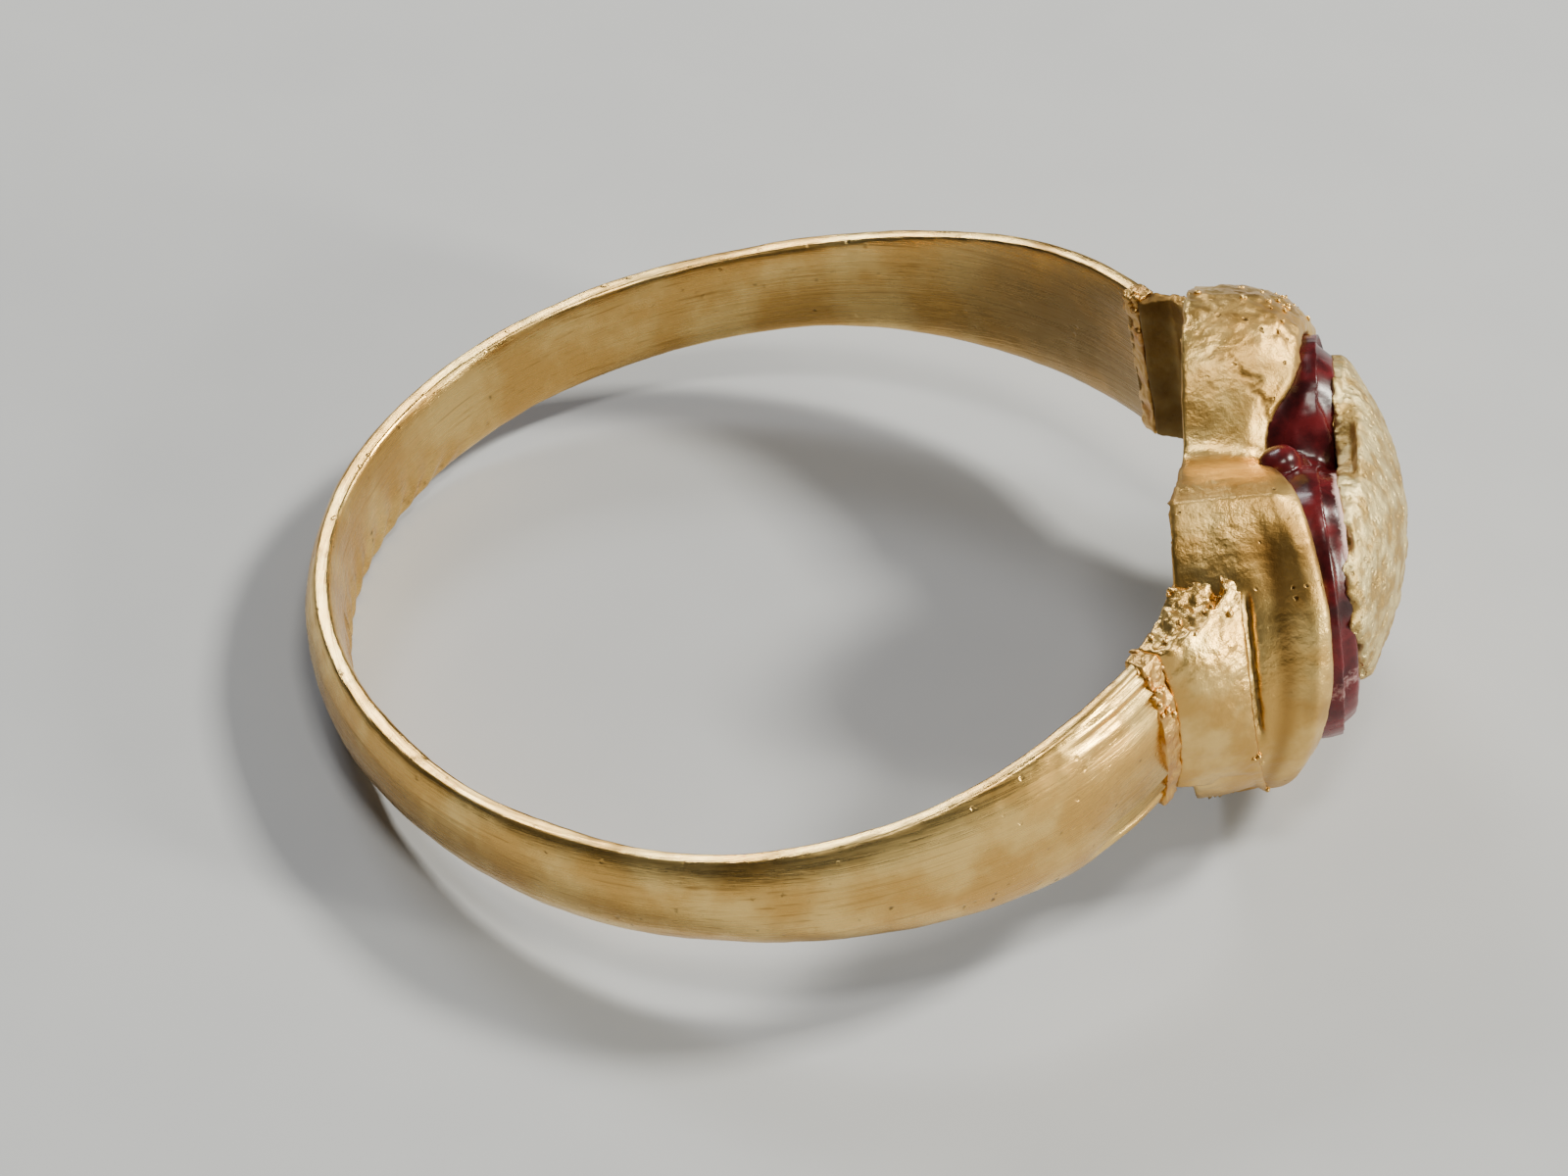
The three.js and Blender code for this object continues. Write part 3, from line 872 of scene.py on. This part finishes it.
def lobeCrumbs():
    points = readVectors(bezelWall.data, "co")
    normals = readVectors(bezelWall.data, "normal")
    angle = headAngle(points)
    below = rimAt(points[:, 1], points[:, 2]) - points[:, 0]
    patches = smoothStep(0.0, 0.25, grain(points, 0.6, 2, 26))
    rim = hump(below, lobeCrumb["rimAt"], lobeCrumb["rimSpread"])
    back = hump(below, lobeCrumb["backAt"], lobeCrumb["backSpread"])
    edges = rim + back + lobeCrumb["patches"] * patches
    farLobe = smoothStep(*lobeCrumb["cleftFade"], angle) * smoothStep(*lobeCrumb["sideFade"], angle)
    return farLobe * edges * (normals[:, 2] > lobeCrumb["lowestNormal"])


def collarCrumbs():
    points = readVectors(nearShoulder.data, "co")
    normals = readVectors(nearShoulder.data, "normal")
    u, v, w = points.T
    topFace = smoothStep(*collarCrumb["topFade"], normals[:, 2]) * smoothStep(*collarWear["highFade"], w)
    foot = collarCrumb["foot"] * hump(u, collarCrumb["footOut"], collarCrumb["footSpread"])
    return topFace + foot * smoothStep(*collarCrumb["footFade"], w)


def solderCrumbs(seam, lowest):
    # only the upper part of a seam has them
    return (readVectors(seam.data, "co")[:, 2] > lowest) * 1.0


print("granules")
scatterGranules("farLobeGranules", bezelWall, lobeCrumbs(),
                {"Density": 9.0, "Smallest": 0.02, "Largest": 0.08, "Seed": 3}, "headGold")
scatterGranules("collarGranules", nearShoulder, collarCrumbs(),
                {"Density": 6.0, "Smallest": 0.03, "Largest": 0.1, "Seed": 5}, "headGold")
scatterGranules("nearSolderGranules", nearSolder, solderCrumbs(nearSolder, 0.2),
                {"Density": 8.0, "Smallest": 0.04, "Largest": 0.12, "Seed": 7}, "solderGold")
scatterGranules("farSolderGranules", farSolder, solderCrumbs(farSolder, 0.9),
                {"Density": 10.0, "Smallest": 0.04, "Largest": 0.11, "Seed": 9}, "solderGold")

standFor(bezelWall, "bezel_wall", "headGold")
standFor(nearShoulder, "near_shoulder", "headGold")
standFor(farShoulder, "far_shoulder", "headGold")
standFor(nearSolder, "near_solder_seam", "solderGold")
standFor(farSolder, "far_solder_seam", "solderGold")
standFor(crestDome, "crest_dome", "crestGold")
standFor(enamelBorder, "enamel_border", "redEnamel")
for node in ("bezel_floor", "crest_riser"):
    dress(frame["nodes"][node], "headGold")

# ---- floor, light and camera ----
view = {"lens": 135, "distance": 114.3, "azimuth": 0.37, "elevation": 42.72, "roll": 2.57, "drop": 0.366}


floorFacts = {"halfSize": 0.6, "dark": colour(164, 165, 168), "light": colour(172, 173, 175)}


def makeFloor():
    size = floorFacts["halfSize"]
    floorMesh = bpy.data.meshes.new("floor")
    corners = [(-size, -size, 0), (size, -size, 0), (size, size, 0), (-size, size, 0)]
    floorMesh.from_pydata(corners, [], [(0, 1, 2, 3)])
    floor = linkPiece("floor", floorMesh)
    made, flow = startMaterial("paleFloor")
    place = flow.node("ShaderNodeTexCoord", None, None, 3)
    cloud = flow.node("ShaderNodeTexNoise", None, {"Vector": place, "Scale": 300.0, "Detail": 4.0})
    base = flow.mix(cloud, floorFacts["dark"], floorFacts["light"])
    shader = flow.node("ShaderNodeBsdfPrincipled", None, {"Base Color": base, "Roughness": 0.9})
    flow.node("ShaderNodeOutputMaterial", None, {"Surface": shader})
    floorMesh.materials.append(made)


def areaLight(name, place, size, power, tint):
    data = bpy.data.lights.new(name, "AREA")
    data.shape = "RECTANGLE"
    data.size, data.size_y = size
    data.energy = power
    data.color = tint
    lamp = bpy.data.objects.new(name, data)
    bpy.context.scene.collection.objects.link(lamp)
    lamp.location = place
    lamp.rotation_euler = (ringCentre - Vector(place)).to_track_quat("-Z", "Y").to_euler()


lamps = {
    "window": {"place": (0.24, 0.10, 0.26), "size": (0.065, 0.065), "power": 2.1, "tint": (1, 0.98, 0.88)},
    "skyPanel": {"place": (-0.12, 0.22, 0.20), "size": (0.10, 0.07), "power": 0.45, "tint": (0.94, 0.97, 1)},
    "sideStrip": {"place": (0.26, -0.09, 0.08), "size": (0.03, 0.07), "power": 0.9, "tint": (1, 0.99, 0.86)},
    "overhead": {"place": (0.03, -0.07, 0.30), "size": (0.08, 0.05), "power": 0.45, "tint": (1, 0.97, 0.88)},
}
studio = {"tint": (0.8, 0.84, 0.9, 1), "strength": 0.1}


def makeLight():
    for name, facts in lamps.items():
        areaLight(name, **facts)
    world = bpy.data.worlds.new("studio")
    bpy.context.scene.world = world
    world.use_nodes = True
    background = world.node_tree.nodes["Background"]
    background.inputs["Color"].default_value = studio["tint"]
    background.inputs["Strength"].default_value = studio["strength"]


def makeCamera():
    azimuth, elevation = math.radians(view["azimuth"]), math.radians(view["elevation"])
    back = Vector((math.sin(azimuth) * math.cos(elevation), -math.cos(azimuth) * math.cos(elevation),
                   math.sin(elevation)))
    level = Vector((math.cos(azimuth), math.sin(azimuth), 0))
    upright = back.cross(level)
    roll = math.radians(view["roll"])
    right = level * math.cos(roll) + upright * math.sin(roll)
    up = back.cross(right)
    data = bpy.data.cameras.new("camera")
    data.lens = view["lens"]
    data.sensor_width = 36
    data.clip_start = 0.002
    data.clip_end = 5
    camera = bpy.data.objects.new("camera", data)
    bpy.context.scene.collection.objects.link(camera)
    place = ringCentre + back * (view["distance"] / 1000) - up * (view["drop"] / 1000)
    axes = Matrix([right, up, back]).transposed().to_4x4()
    camera.matrix_world = Matrix.Translation(place) @ axes
    bpy.context.scene.camera = camera


print("floor, light and camera")
makeFloor()
makeLight()
makeCamera()
